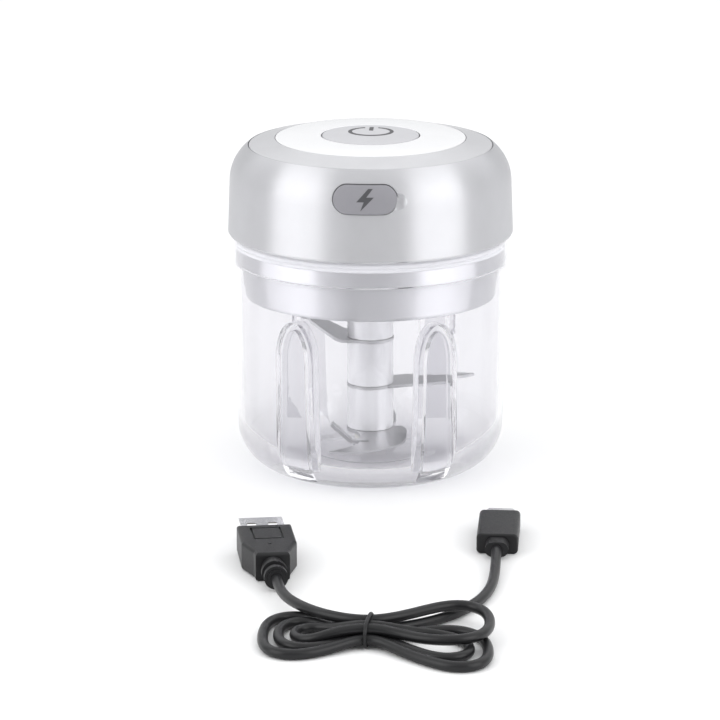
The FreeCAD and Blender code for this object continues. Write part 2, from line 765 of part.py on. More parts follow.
def storey(z0, z1):
    """White column sleeve with softly rounded ends."""
    sleeve = ring(COLUMN_R, CORE_R, z0, z1)
    return rounded(sleeve, 0.25, lambda edge: edge.BoundBox.XLength > 2 * COLUMN_R - 0.1
                   and edge.BoundBox.ZLength < 0.1)


def blade_hub(z0, thickness, radius=COLUMN_R + 0.15):
    return ring(radius, CORE_R, z0, z0 + thickness)


def sharpened(wing, plan):
    """Wing plate trimmed to its plan outline."""
    return wing.common(prism(plan, -20, 90))


def blade_top():
    """Upper blade: one broad wing that curls upwards, with a nick near its tip."""
    z0 = TOP_BLADE_Z
    path = [("line", 6.6), ("arc", 7.0, 30), ("line", 18.0)]
    wing = sheet((0, z0 + BLADE_THICK / 2), 0, path, BLADE_THICK, -12, 12)
    plan = [
        (0, -6.4),
        (5.0, -6.6),
        ((14.0, -5.0), (21.4, 3.4)),
        (19.0, 3.4),
        ((18.2, 2.5), (17.2, 3.6)),
        ((11.5, 6.2), (5.0, 6.6)),
        (0, 6.4),
    ]
    wing = turned(sharpened(wing, plan), 180 - 4)
    wing = wing.cut(cylinder(CORE_R, 30, 50))
    return blade_hub(z0, BLADE_THICK).fuse(wing).removeSplitter()


def blade_middle():
    """Middle blade: one long wing, a little raised, with a wavy nick in its cutting edge."""
    z0 = MIDDLE_BLADE_Z
    path = [("line", 7.0), ("arc", 12.0, 3), ("line", 30.0)]
    wing = sheet((0, z0 + BLADE_THICK / 2), 0, path, BLADE_THICK, -14, 14)
    plan = [
        (0, -4.0),
        (5.5, -4.6),
        ((14.0, -2.2), (20.4, 0.6)),
        ((21.4, 0.2), (22.2, 1.4)),
        ((23.4, 1.0), (24.6, 2.6)),
        (30.6, 6.2),
        ((18.0, 9.0), (5.5, 7.4)),
        (0, 6.2),
    ]
    wing = sharpened(wing, plan).cut(cylinder(CORE_R, 20, 30))
    return blade_hub(z0, BLADE_THICK).fuse(wing).removeSplitter()


def blade_bottom():
    """Lower blade: a drooping sickle in front, a twin behind and a tooth bent upwards."""
    z0 = COLUMN_BOTTOM - 1.0
    middle = z0 + 0.5
    front_path = [("line", 7.0), ("arc", 8.0, -DROOP), ("line", 24.0)]
    front = sheet((0, middle), 0, front_path, 1.0, -14, 14)
    front = sharpened(front, [
        (-4.0, 6.0),
        ((1.5, 9.9), (8.4, 10.8)),
        ((17.0, 8.6), (23.2, 2.2)),
        ((25.6, -4.0), (25.8, -11.0)),
        ((21.3, -6.0), (16.5, -3.0)),
        ((11.6, -2.4), (6.5, -3.6)),
        (0.0, -6.6),
        (-4.0, 0.0),
    ])
    front = turned(front, -90)
    back = sheet((0, middle), 0, [("line", 7.0), ("arc", 8.0, 3), ("line", 24.0)], 1.0, -10, 10)
    back = sharpened(back, [
        (0, -6.4),
        (5.0, -6.6),
        ((16.0, -4.8), (27.4, 2.6)),
        ((20.0, 1.8), (12.6, 3.4)),
        ((8.0, 5.2), (5.0, 6.2)),
        (0, 6.4),
    ])
    back = turned(back, 84)
    tooth_path = [("line", 4.4), ("arc", 1.6, 42), ("line", 7.0)]
    tooth = sheet((0, middle - 0.65), 0, tooth_path, 1.0, -1.5, 1.5)
    tooth = moved(turned(tooth, 180), 0, -13.0, 0)
    whole = fused([front, blade_hub(z0, 1.0), back, tooth])
    return whole.cut(cylinder(CORE_R, 0, 20)).removeSplitter()


# ---- power button -----------------------------------------------------------------------------
def button_dome(lift):
    """Solid under the button's slightly domed face, raised by lift."""
    rise = BUTTON_TOP_Z - BUTTON_EDGE_Z
    radius = (BUTTON_R ** 2 + rise ** 2) / (2 * rise)
    centre = V(0, 0, BUTTON_TOP_Z - radius + lift)
    ball = Part.makeSphere(radius, centre, V(1, 0, 0))
    return cylinder(BUTTON_R, 90, BUTTON_TOP_Z + 1).common(ball)


def power_sign():
    """Generic on/off sign: a broken ring with a bar through the gap."""
    broken = ring(6.6, 5.5, 90, 105).cut(box(-1.9, 1.9, 0, 8, 89, 106))
    bar = box(-0.6, 0.6, 1.0, 6.6, 90, 105)
    return moved(Part.makeCompound([broken, bar]), 0, 2.6, 0)


def power_mark():
    skin = button_dome(0.06).cut(button_dome(-0.35))
    return power_sign().common(skin)


def power_button():
    """Domed cap with a skirt, a retaining flange and the stem that bears on the plunger."""
    cap = button_dome(0).cut(cylinder(BUTTON_R + 1, 80, 96.9))
    cap = rounded(cap, 0.35, lambda edge: edge.BoundBox.ZMin > BUTTON_EDGE_Z - 0.01
                  and edge.BoundBox.XLength > 2 * BUTTON_R - 0.1)
    skirt = ring(BUTTON_R, 12.6, 94.2, 96.9)
    flange = ring(15.3, 12.6, 94.2, 95.0)
    stem = cylinder(2.0, 94.3, 96.9)
    whole = fused([cap, skirt, flange, stem])
    return whole.cut(power_mark())


def switch_plunger():
    return cylinder(1.5, 92.0, 94.3)


def return_dome():
    """Silicone dome round the switch that pushes the button back up."""
    base = BOARD_BOTTOM + BOARD_THICK
    return revolved([
        (6.4, base),
        (8.2, base),
        (8.2, base + 0.8),
        (7.5, base + 0.8),
        (7.2, 93.4),
        (4.6, 96.9),
        (2.2, 96.9),
        (2.2, 96.2),
        (3.8, 96.2),
        (6.4, 93.2),
    ])


# ---- port cover -------------------------------------------------------------------------------
def pill_skin(low, high, length, height):
    """Piece of the shell's surface, between two offsets from it, with the pill's outline."""
    bar = stadium(length, height, -50, -25, PORT_Z)
    return bar.common(shell_envelope(high).cut(shell_envelope(low)))


def bolt_sign():
    """Lightning bolt outline, extruded through the pill."""
    points = [(0.9, 3.1), (-2.4, -0.5), (-0.3, -0.5), (-1.3, -3.1), (2.5, 0.8), (0.4, 0.8), (2.2, 3.1)]
    corners = [V(x, -50, PORT_Z + z) for x, z in points]
    face = Part.Face(Part.makePolygon(corners + [corners[0]]))
    return face.extrude(V(0, 20, 0))


def charge_mark():
    skin = shell_envelope(PILL_PROUD + 0.04).cut(shell_envelope(PILL_PROUD - 0.3))
    return bolt_sign().common(skin)


def port_cover():
    """Silicone cover with a shallow plug behind it; it swings about its left end."""
    pad = pill_skin(-PILL_POCKET + 0.05, PILL_PROUD, PILL_LENGTH, PILL_HEIGHT)
    plug = stadium(7.6, 2.6, -42, SOCKET_MOUTH_Y - 0.4, PORT_Z).common(shell_envelope(0))
    whole = pad.fuse(plug).removeSplitter()
    return whole.cut(charge_mark())


# ---- charging cable ---------------------------------------------------------------------------
def placed_plug(shape, turn, exit_point):
    copy = shape.copy()
    copy.rotate(V(0, 0, 0), UP, turn)
    copy.translate(V(*exit_point))
    return copy


def slab(half_width, y0, y1, half_thick, radius):
    """Rounded bar along Y, centred on the plug's axis."""
    bar = box(-half_width, half_width, y0, y1, -half_thick, half_thick)
    return rounded(bar, radius, lambda edge: edge.BoundBox.YLength > (y1 - y0) - 0.1)


def usb_a_relief():
    """Ribbed strain relief: a tapered core with two collars."""
    core = revolved([(0, 0), (2.3, 0), (3.0, 10.0), (0, 10.0)])
    collars = [revolved([(0, z), (r, z), (r, z + 1.9), (0, z + 1.9)]) for z, r in ((0.6, 3.2), (4.6, 3.5))]
    whole = fused([core] + collars)
    whole.rotate(V(0, 0, 0), V(1, 0, 0), -90)
    return whole.cut(cylinder_y(CORD_R, -1, 0.5))


def cylinder_y(radius, y0, y1):
    return Part.makeCylinder(radius, y1 - y0, V(0, y0, 0), V(0, 1, 0))


def usb_a_body():
    """Moulded grip: straight at the front, shouldered at the back, with a framed panel on top."""
    plan = [
        (-4.6, 10.0), (4.6, 10.0), (4.9, 13.0), (7.5, 20.5), (7.5, 36.0),
        (-7.5, 36.0), (-7.5, 20.5), (-4.9, 13.0),
    ]
    grip = prism(plan, -3.95, 3.95)
    grip = rounded(grip, 1.0, lambda edge: abs(abs(edge.BoundBox.Center.z) - 3.95) < 0.01
                   and edge.BoundBox.ZLength < 0.01)
    groove = box(-4.2, 4.2, 23.0, 33.0, 3.5, 5).cut(box(-3.6, 3.6, 23.6, 32.4, 3, 6))
    dot = cylinder(0.5, 3.4, 5, 0, 18.4)
    return grip.cut([groove, dot])


def usb_a_shell():
    """Steel plug shell with two latch windows on each broad face."""
    outer = box(-6.0, 6.0, 36.0, 47.8, -2.25, 2.25)
    inner = box(-5.7, 5.7, 36.3, 48.8, -1.95, 1.95)
    windows = [box(side * 2.9 - 1.25, side * 2.9 + 1.25, 40.6, 42.8, -3, 3) for side in (-1, 1)]
    return outer.cut([inner] + windows)


def usb_a_tongue():
    """Plastic tongue along the shell's upper side, with its block at the root."""
    tongue = box(-5.6, 5.6, 36.3, 47.0, -1.95, -0.05)
    block = box(-5.6, 5.6, 36.3, 38.6, -1.95, 1.95)
    return tongue.fuse(block).removeSplitter()


def usb_a_contacts():
    strips = [box(x - 0.5, x + 0.5, 39.2, 46.4, -0.05, 0.08) for x in (-3.5, -1.0, 1.0, 3.5)]
    return Part.makeCompound(strips)


def flat_oval(width, thick, y0, y1):
    bar = stadium(width, thick, y0, y1, 0)
    return bar


def usb_c_relief():
    neck = flat_oval(6.4, 4.2, 0.0, 5.0)
    return neck.cut(cylinder_y(CORD_R, -1, 0.5))


def usb_c_body():
    body = slab(5.7, 5.0, 28.0, 2.85, 1.3)
    return rounded(body, 0.6, lambda edge: edge.BoundBox.YLength < 0.01)


def usb_c_shell():
    outer = flat_oval(8.25, 2.4, 28.0, 34.65)
    inner = flat_oval(7.75, 1.9, 28.4, 35.0)
    return outer.cut(inner)


def usb_c_insert():
    outer = flat_oval(7.75, 1.9, 28.4, 34.2)
    inner = flat_oval(6.9, 0.8, 29.4, 35.0)
    return outer.cut(inner)


def hank_lobe(side, reach, front, back):
    """One rounded lobe of the hank's outer shape, from the tie out to one side."""
    half = (back - front) / 2
    middle = (back + front) / 2
    x_round = side * (reach - half * 0.8)
    return prism([
        (TIE_X, TIE_Y - TIE_HALF),
        (TIE_X + x_round, TIE_Y + front),
        ((TIE_X + side * reach, TIE_Y + middle), (TIE_X + x_round, TIE_Y + back)),
        (TIE_X, TIE_Y + TIE_HALF),
    ], 0.05, HANK_TOP)


def tie_block(grow, half_width=0.7):
    """Block that the tie goes round, or the tie's own outside."""
    half = TIE_HALF + grow
    return box(TIE_X - half_width, TIE_X + half_width, TIE_Y - half, TIE_Y + half,
               TIE_LOW - grow * 0.9, TIE_HIGH + grow)


def cord_hank():
    """Outer shape of the folded turns, waisted where the tie holds them."""
    lobes = hank_lobe(-1, LEFT_REACH, -17.5, 19.0).fuse(hank_lobe(1, RIGHT_REACH, -24.5, 20.0))
    waist = box(TIE_X - 0.7, TIE_X + 0.7, TIE_Y - 9, TIE_Y + 9, -1, 9).cut(tie_block(0))
    return lobes.cut(waist).removeSplitter()


def cord_tie():
    """Wire tie round the hank's waist."""
    return tie_block(TIE_WIRE).cut(tie_block(0, 5.0))


def cord_lead(points):
    """A lead from its plug up to the hank's outer face."""
    return max(tube(points, CORD_R).cut(cord_hank()).Solids, key=lambda solid: solid.Volume)


# ---- build ------------------------------------------------------------------------------------
def main():
    os.makedirs("parts", exist_ok=True)
    plain = [
        bowl, blade_pin,
        housing_shell, top_trim_ring, top_panel, seal_ring, lower_housing, shaft_seal, housing_screws,
        motor_can, motor_end_cap, motor_magnets, motor_gasket, motor_screws, motor_leads,
        battery_cell, battery_holder, battery_tabs,
        circuit_board, board_parts, board_screws, charge_socket, socket_tongue, switch_body,
        motor_shaft, motor_rotor, commutator, drive_coupling,
        blade_shaft, pin_bush, blade_top, blade_middle, blade_bottom,
        power_button, power_mark, switch_plunger, return_dome,
        port_cover, charge_mark,
        cord_hank, cord_tie,
    ]
    for make in plain:
        save(make.__name__, make())
    save("column_bottom", storey(COLUMN_BOTTOM, MIDDLE_BLADE_Z))
    save("column_middle", storey(MIDDLE_BLADE_Z + BLADE_THICK, TOP_BLADE_Z))
    save("column_top", storey(TOP_BLADE_Z + BLADE_THICK, COLUMN_TOP))
    for make in (usb_a_relief, usb_a_body, usb_a_shell, usb_a_tongue, usb_a_contacts):
        save(make.__name__, placed_plug(make(), PLUG_A_TURN, PLUG_A_EXIT))
    for make in (usb_c_relief, usb_c_body, usb_c_shell, usb_c_insert):
        save(make.__name__, placed_plug(make(), PLUG_C_TURN, PLUG_C_EXIT))
    save("cord_lead_a", cord_lead(LEAD_A))
    save("cord_lead_c", cord_lead(LEAD_C))


main()
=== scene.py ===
"""Looks of the cordless mini food processor: materials for every CAD node, the smooth charging cord
and its wire tie, and a plain light-table studio. Metres, in the CAD model's own frame, except that
the cord's and the tie's points are in millimetres.
"""
import json
import math

import bpy
import numpy as np
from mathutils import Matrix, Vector

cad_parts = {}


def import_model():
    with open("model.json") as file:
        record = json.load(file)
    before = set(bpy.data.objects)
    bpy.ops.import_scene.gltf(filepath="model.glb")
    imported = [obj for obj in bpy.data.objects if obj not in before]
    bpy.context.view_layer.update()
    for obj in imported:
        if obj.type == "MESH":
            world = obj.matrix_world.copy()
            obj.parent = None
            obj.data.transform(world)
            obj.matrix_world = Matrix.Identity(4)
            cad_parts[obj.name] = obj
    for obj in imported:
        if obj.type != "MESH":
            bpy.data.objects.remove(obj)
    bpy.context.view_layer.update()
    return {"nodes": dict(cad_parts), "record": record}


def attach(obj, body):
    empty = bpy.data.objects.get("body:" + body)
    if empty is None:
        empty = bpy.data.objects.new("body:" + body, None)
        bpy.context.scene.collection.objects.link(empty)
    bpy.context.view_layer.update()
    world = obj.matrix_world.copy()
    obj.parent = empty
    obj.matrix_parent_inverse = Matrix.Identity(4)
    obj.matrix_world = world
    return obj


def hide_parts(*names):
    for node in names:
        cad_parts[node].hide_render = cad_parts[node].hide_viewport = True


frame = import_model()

MM = 0.001
NOISE_LOW = 0.3
NOISE_HIGH = 0.7
QUARTER_TURN = 0.25
MIX_FACTOR, MIX_A, MIX_B, MIX_RESULT = 0, 6, 7, 2
NODES = frame["nodes"]
SLOT_OF = {part["node"]: part["material_slot"] for part in frame["record"]["subparts"]}


# ---- node helpers -----------------------------------------------------------------------------
class Finish:
    """A procedural material: a Principled shader with colour, roughness and relief from noise."""

    def __init__(self, name, **sockets):
        self.slot = name
        self.material = bpy.data.materials.new("look_" + name)
        self.material.use_nodes = True
        self.tree = self.material.node_tree
        self.tree.nodes.clear()
        self.out = self.add("OutputMaterial")
        self.shader = self.add("BsdfPrincipled")
        self.link(self.shader.outputs[0], self.out.inputs["Surface"])
        self.place = self.add("TexCoord").outputs["Object"]
        for key, value in sockets.items():
            self.shader.inputs[key.replace("_", " ")].default_value = value

    def add(self, kind, **settings):
        node = self.tree.nodes.new("ShaderNode" + kind)
        for key, value in settings.items():
            setattr(node, key, value)
        return node

    def link(self, a, b):
        self.tree.links.new(a, b)

    def noise(self, size_mm, stretch=(1, 1, 1), detail=3.0):
        """Noise whose grain is size_mm across, longer where stretch is under 1."""
        mapping = self.add("Mapping")
        mapping.inputs["Scale"].default_value = stretch
        self.link(self.place, mapping.inputs["Vector"])
        texture = self.add("TexNoise")
        texture.inputs["Scale"].default_value = 1.0 / (size_mm * MM)
        texture.inputs["Detail"].default_value = detail
        self.link(mapping.outputs[0], texture.inputs["Vector"])
        return texture.outputs["Fac"]

    def spread(self, value, low, high):
        """A noise value, mostly from NOISE_LOW to NOISE_HIGH, stretched to run from low to high."""
        node = self.add("MapRange")
        node.inputs["From Min"].default_value = NOISE_LOW
        node.inputs["From Max"].default_value = NOISE_HIGH
        node.inputs["To Min"].default_value = low
        node.inputs["To Max"].default_value = high
        self.link(value, node.inputs["Value"])
        return node.outputs[0]

    def colour(self, value, dark, light):
        ramp = self.add("ValToRGB")
        low, high = ramp.color_ramp.elements
        low.position = NOISE_LOW
        high.position = NOISE_HIGH
        low.color = (*dark, 1)
        high.color = (*light, 1)
        self.link(value, ramp.inputs["Fac"])
        self.link(ramp.outputs["Color"], self.shader.inputs["Base Color"])

    def roughness(self, value, low, high):
        self.link(self.spread(value, low, high), self.shader.inputs["Roughness"])

    def relief(self, value, depth_mm, strength=1.0):
        bump = self.add("Bump")
        bump.inputs["Distance"].default_value = depth_mm * MM
        bump.inputs["Strength"].default_value = strength
        self.link(value, bump.inputs["Height"])
        self.link(bump.outputs[0], self.shader.inputs["Normal"])

    def brushed(self, amount):
        """Highlights drawn out at right angles to the lines round the upright axis."""
        tangent = self.add("Tangent", direction_type="RADIAL", axis="Z")
        self.shader.inputs["Anisotropic"].default_value = amount
        self.shader.inputs["Anisotropic Rotation"].default_value = QUARTER_TURN
        self.link(tangent.outputs[0], self.shader.inputs["Tangent"])

    def maths(self, operation, first, second):
        """Math node on another node's output and on a second output or a plain number."""
        node = self.add("Math", operation=operation)
        self.link(first, node.inputs[0])
        if isinstance(second, float):
            node.inputs[1].default_value = second
        else:
            self.link(second, node.inputs[1])
        return node.outputs[0]


def shades(colour, vary):
    """A darker and a lighter shade of a colour, vary apart on each side."""
    dark = tuple(part * (1 - vary) for part in colour)
    light = tuple(min(1, part * (1 + vary)) for part in colour)
    return dark, light


def plastic(name, colour, rough, vary=0.03, grain_mm=0.35, depth_mm=0.004, cloud_mm=9.0,
            uneven=0.15, coat=0.0, **sockets):
    """Moulded plastic or rubber: cloudy colour at centimetre scale, fine spark-eroded grain."""
    finish = Finish(name, Coat_Weight=coat, Coat_Roughness=0.06, **sockets)
    finish.colour(finish.noise(cloud_mm), *shades(colour, vary))
    fine = finish.noise(grain_mm)
    finish.roughness(fine, rough * (1 - uneven), rough * (1 + uneven))
    finish.relief(fine, depth_mm)
    return finish


def metal(name, colour, rough, stretch=(1, 1, 1), grain_mm=0.5, vary=0.05, uneven=0.25,
          depth_mm=0.0004, **sockets):
    """Bare or plated metal, brushed along the axis whose stretch is smallest."""
    finish = Finish(name, Metallic=1.0, **sockets)
    lines = finish.noise(grain_mm, stretch)
    finish.colour(lines, *shades(colour, vary))
    finish.roughness(lines, rough * (1 - uneven), rough * (1 + uneven))
    finish.relief(lines, depth_mm)
    return finish


# ---- materials --------------------------------------------------------------------------------
def drawn(name, colour, rough, pull, **settings):
    """Lacquered plastic with almost no grain and its highlights drawn out up and down."""
    finish = plastic(name, colour, rough, depth_mm=0.0005, **settings)
    finish.brushed(pull)
    return finish


def black(name, rough, vary=0.15, **settings):
    """Black plastic or rubber with a faint sheen."""
    return plastic(name, (0.012, 0.012, 0.013), rough, vary=vary, depth_mm=0.006,
                   Specular_IOR_Level=0.3, **settings)


def clear_plastic():
    """Clear bowl: refracts for the eye and reflections, and lets light through to what it holds.

    A ray on its fifth surface or later goes straight on with a tint, so that thick corners stay
    light.
    """
    last_bent_depth = 3.5
    finish = Finish("clear_bowl", Transmission_Weight=1.0, IOR=1.42, Specular_IOR_Level=0.5)
    flow = finish.noise(24.0, (1, 1, 0.35), detail=1.0)
    finish.colour(flow, (0.865, 0.862, 0.88), (0.89, 0.887, 0.905))
    finish.roughness(finish.noise(3.0), 0.0, 0.02)
    finish.relief(flow, 0.05, 0.25)
    through = finish.add("BsdfTransparent")
    path = finish.add("LightPath").outputs
    lighting = finish.maths("MAXIMUM", path["Is Shadow Ray"], path["Is Diffuse Ray"])
    trapped = finish.maths("GREATER_THAN", path["Ray Depth"], last_bent_depth)
    tint = finish.add("Mix", data_type="RGBA")
    tint.inputs[MIX_A].default_value = (0.945, 0.945, 0.955, 1)
    tint.inputs[MIX_B].default_value = (0.905, 0.903, 0.913, 1)
    finish.link(trapped, tint.inputs[MIX_FACTOR])
    finish.link(tint.outputs[MIX_RESULT], through.inputs["Color"])
    mix = finish.add("MixShader")
    finish.link(finish.maths("MAXIMUM", lighting, trapped), mix.inputs["Fac"])
    finish.link(finish.shader.outputs[0], mix.inputs[1])
    finish.link(through.outputs[0], mix.inputs[2])
    finish.link(mix.outputs[0], finish.out.inputs["Surface"])
    return finish


def make_finishes():
    made = [
        clear_plastic(),
        drawn("pearl_white", (0.60, 0.60, 0.622), 0.46, 0.95, vary=0.015, grain_mm=0.2,
              Metallic=0.75),
        drawn("satin_silver", (0.74, 0.74, 0.758), 0.42, 0.95, vary=0.02, grain_mm=0.2,
              Metallic=0.9),
        drawn("column_white", (0.90, 0.90, 0.91), 0.24, 0.6, vary=0.02, grain_mm=0.25, coat=0.3,
              Metallic=0.25),
        metal("stainless", (0.56, 0.56, 0.57), 0.3, stretch=(1, 0.1, 1), grain_mm=1.2, vary=0.01,
              uneven=0.05, depth_mm=0.00002),
        plastic("trim_grey", (0.50, 0.50, 0.518), 0.34, coat=0.15, Metallic=0.25),
        plastic("panel_white", (0.83, 0.83, 0.845), 0.22, vary=0.012, coat=0.5),
        plastic("button_grey", (0.51, 0.508, 0.53), 0.38, grain_mm=0.3),
        plastic("mark_grey", (0.06, 0.06, 0.066), 0.5, vary=0.08),
        plastic("silicone_grey", (0.235, 0.232, 0.252), 0.5, grain_mm=0.25, depth_mm=0.006),
        plastic("silicone_white", (0.85, 0.85, 0.865), 0.42, vary=0.02),
        metal("plated_steel", (0.80, 0.80, 0.81), 0.2, grain_mm=1.2, vary=0.03),
        metal("motor_steel", (0.55, 0.55, 0.56), 0.32, grain_mm=1.0),
        metal("bronze", (0.58, 0.38, 0.2), 0.4, grain_mm=0.3, vary=0.12),
        metal("copper", (0.75, 0.38, 0.24), 0.25, grain_mm=0.4, vary=0.1),
        metal("gold", (0.86, 0.62, 0.25), 0.18, grain_mm=0.6),
        plastic("magnet_grey", (0.07, 0.07, 0.075), 0.55, vary=0.15),
        plastic("nylon_white", (0.78, 0.77, 0.73), 0.45, vary=0.04),
        plastic("board_green", (0.02, 0.15, 0.06), 0.3, vary=0.12),
        plastic("chip_black", (0.02, 0.02, 0.022), 0.45, vary=0.15),
        plastic("cell_wrap", (0.03, 0.14, 0.38), 0.3, vary=0.08),
        black("black_rubber", 0.5),
        black("black_plastic", 0.42),
        black("cord_black", 0.36, vary=0.2, grain_mm=0.3),
    ]
    return {finish.slot: finish.material for finish in made}


FINISH = make_finishes()


def dress(piece, material):
    """Puts one material on every slot of a piece."""
    piece.data.materials.clear()
    piece.data.materials.append(material)


for node, slot in SLOT_OF.items():
    dress(NODES[node], FINISH[slot])


# ---- charging cord ----------------------------------------------------------------------------
CORD_R = 1.4
TIE_X = 6.0
TIE_Y = -163.0
LAID = 1.5
IN_TIE_LOW = 2.45
IN_TIE_HIGH = 4.95
TIE_STEP = 1.2
LEAD_A = [
    (-20.0, -124.0, 4.0),
    (-19.1, -129.6, 3.9),
    (-17.5, -136.2, 3.7),
    (-14.6, -143.4, 4.3),
    (-10.6, -150.2, 4.7),
    (-5.2, -156.0, 4.9),
]
LEAD_C = [
    (38.0, -93.0, 2.9),
    (37.9, -100.0, 2.6),
    (37.7, -109.0, 1.6),
    (37.0, -120.0, 1.5),
    (34.6, -131.0, 1.5),
    (29.6, -141.0, 1.5),
    (22.8, -149.0, 1.5),
    (14.6, -155.0, 1.6),
]
SWELL = 1.3
SWELL_STEPS = 100

# How the route settles. The first four are shares of a correction made in each round.
ANCHOR = 0.002
BENDING = 0.1
PUSH = 0.3
STRETCH = 0.25
ROUNDS = 500
STEP = 1.4
NEAREST_APART = 7
HELD_ENDS = 4
TABLE_GAP = 0.05
HANK_TOP = 5.0
TIE_REACH = 1.6
TIE_HALF = 4.5
TIE_LOW = 2.4
CURVE_SAMPLES = 24


def swelling(angle):
    """How far a lobe bulges at an angle round it: nothing at the tie, most at 0.8 of its reach."""
    return math.sin(angle) * ((1 - math.cos(angle)) / 2) ** SWELL


HALF_TURN = round(math.pi * SWELL_STEPS)
MOST_SWELLING = max(swelling(step / SWELL_STEPS) for step in range(HALF_TURN + 1))


def lobe(side, reach, half, lean, y_out, y_back, heights):
    """One turn's loop out from the tie to one side and back to it."""
    count = len(heights) + 1
    points = []
    for k, z in enumerate(heights, 1):
        angle = math.tau * k / count
        out = (1 - math.cos(angle)) / 2
        share = 0.5 - 0.5 * math.cos(math.pi * min(1, max(0, 2 * k / count - 0.5)))
        y = (y_out + (y_back - y_out) * share + lean * out
             + side * half * swelling(angle) / MOST_SWELLING)
        points.append((TIE_X + side * reach * out, TIE_Y + y, z))
    return points


def through_tie(offset, z, way):
    """One pass through the tie, offset in Y, way 1 to the right or -1 to the left."""
    return [(TIE_X + way * step, TIE_Y + offset, z) for step in (-TIE_STEP, TIE_STEP)]


def cord_route():
    """Seven passes through the tie and three loops a side, from the large plug to the small one."""
    flat = [2.1, 1.6] + 7 * [LAID] + [1.6, 2.1]
    over = [5.0, 4.8, 4.6, 4.5, 4.2, 3.6, 4.4, 4.6, 4.2, 3.6, 4.7]
    route = LEAD_A + through_tie(2.9, IN_TIE_HIGH, 1)
    route += lobe(1, 31.2, 12.5, 5.5, 2.9, -2.9, over) + through_tie(-2.9, IN_TIE_HIGH, -1)
    route += lobe(-1, 18.8, 5.6, 3.4, -2.9, 0, [4.8, 4.2, 3.0, 1.7] + 5 * [LAID] + [2.8, 4.4])
    route += through_tie(0, IN_TIE_HIGH, 1)
    route += lobe(1, 26.0, 8.6, -8.2, 0, -1.45, [4.7, 3.6, 2.2] + 6 * [LAID] + [1.6, 2.1])
    route += through_tie(-1.45, IN_TIE_LOW, -1)
    route += lobe(-1, 23.2, 10.2, 1.7, -1.45, 1.45, flat) + through_tie(1.45, IN_TIE_LOW, 1)
    route += lobe(1, 31.0, 12.6, -8.6, 1.45, -4.35, flat) + through_tie(-4.35, IN_TIE_LOW, -1)
    route += lobe(-1, 27.5, 12.6, 1.2, -4.35, 4.35, flat) + through_tie(4.35, IN_TIE_LOW, 1)
    return route + LEAD_C[::-1]


def spaced(points, step):
    """Points at even steps along the smooth curve that a route's control points make."""
    route = np.array(points, float)
    middles = (route[:-1] + route[1:]) / 2
    middles[0], middles[-1] = route[0], route[-1]
    share = np.linspace(0, 1, CURVE_SAMPLES, endpoint=False)[:, None]
    spans = [(1 - share) ** 2 * a + 2 * share * (1 - share) * p + share ** 2 * b
             for a, p, b in zip(middles[:-1], route[1:-1], middles[1:])]
    curve = np.vstack(spans + [route[-1:]])
    along = np.concatenate([[0], np.cumsum(np.linalg.norm(np.diff(curve, axis=0), axis=1))])
    places = np.linspace(0, along[-1], round(along[-1] / step) + 1)
    return np.column_stack([np.interp(places, along, curve[:, axis]) for axis in range(3)])


def settled(points):
    """The route after its passes have pushed each other apart and evened out, resting on the table.

    Gives every second point of the settled route, and its last one.
    """
    start = spaced(points, STEP)
    cord = start.copy()
    count = len(cord)
    first, second = np.triu_indices(count, NEAREST_APART)
    loose = np.ones(count)
    loose[:HELD_ENDS] = loose[-HELD_ENDS:] = 0
    in_tie = np.abs(start[:, 0] - TIE_X) < TIE_REACH
    rest = np.linalg.norm(np.diff(start, axis=0), axis=1)
    for _ in range(ROUNDS):
        shift = ANCHOR * (start - cord)
        fourth = cord[:-4] - 4 * cord[1:-3] + 6 * cord[2:-2] - 4 * cord[3:-1] + cord[4:]
        shift[2:-2] -= BENDING * fourth
        gap = cord[first] - cord[second]
        apart = np.linalg.norm(gap, axis=1)
        near = apart < 2 * CORD_R
        push = gap[near] / apart[near, None] * (PUSH * (2 * CORD_R - apart[near]))[:, None]
        np.add.at(shift, first[near], push)
        np.add.at(shift, second[near], -push)
        cord += loose[:, None] * shift
        span = np.diff(cord, axis=0)
        length = np.linalg.norm(span, axis=1)
        fix = span * (STRETCH * (length - rest) / length)[:, None]
        cord[:-1] += loose[:-1, None] * fix
        cord[1:] -= loose[1:, None] * fix
        cord[:, 2] = np.clip(cord[:, 2], CORD_R + TABLE_GAP, HANK_TOP)
        cord[in_tie, 1] = np.clip(cord[in_tie, 1], TIE_Y - TIE_HALF, TIE_Y + TIE_HALF)
        cord[in_tie, 2] = np.clip(cord[in_tie, 2], TIE_LOW, HANK_TOP)
    return [*cord[:-2:2].tolist(), cord[-1].tolist()]


def smooth_curve(name, points_mm, radius_mm, material, closed=False):
    """Round tube along one NURBS spline."""
    curve = bpy.data.curves.new(name, "CURVE")
    curve.dimensions = "3D"
    spline = curve.splines.new("NURBS")
    spline.points.add(len(points_mm) - 1)
    for point, place in zip(spline.points, points_mm):
        point.co = (*(MM * value for value in place), 1)
    spline.order_u = 3
    spline.use_endpoint_u = not closed
    spline.use_cyclic_u = closed
    spline.resolution_u = 5
    curve.bevel_depth = radius_mm * MM
    curve.bevel_resolution = 7
    curve.use_fill_caps = not closed
    piece = bpy.data.objects.new(name, curve)
    bpy.context.scene.collection.objects.link(piece)
    curve.materials.append(material)
    return piece


def wire_tie():
    """Thin plastic-coated wire in one closed loop round the hank's waist."""
    half = 6.35
    top = 6.85
    low = 0.6
    radius = 0.5
    ring = [
        (half, 3.2), (half - 0.4, top - 1.6), (half - 2.6, top), (0, top + 0.1), (2.6 - half, top),
        (0.4 - half, top - 1.6), (-half, 3.2), (0.2 - half, 1.1), (1.8 - half, low), (0, low),
        (half - 1.8, low), (half - 0.2, 1.1),
    ]
    lean = 0.12
    points = [(TIE_X + lean * y, TIE_Y + y, z) for y, z in ring]
    return smooth_curve("cord_tie_wire", points, radius, FINISH["black_plastic"], closed=True)


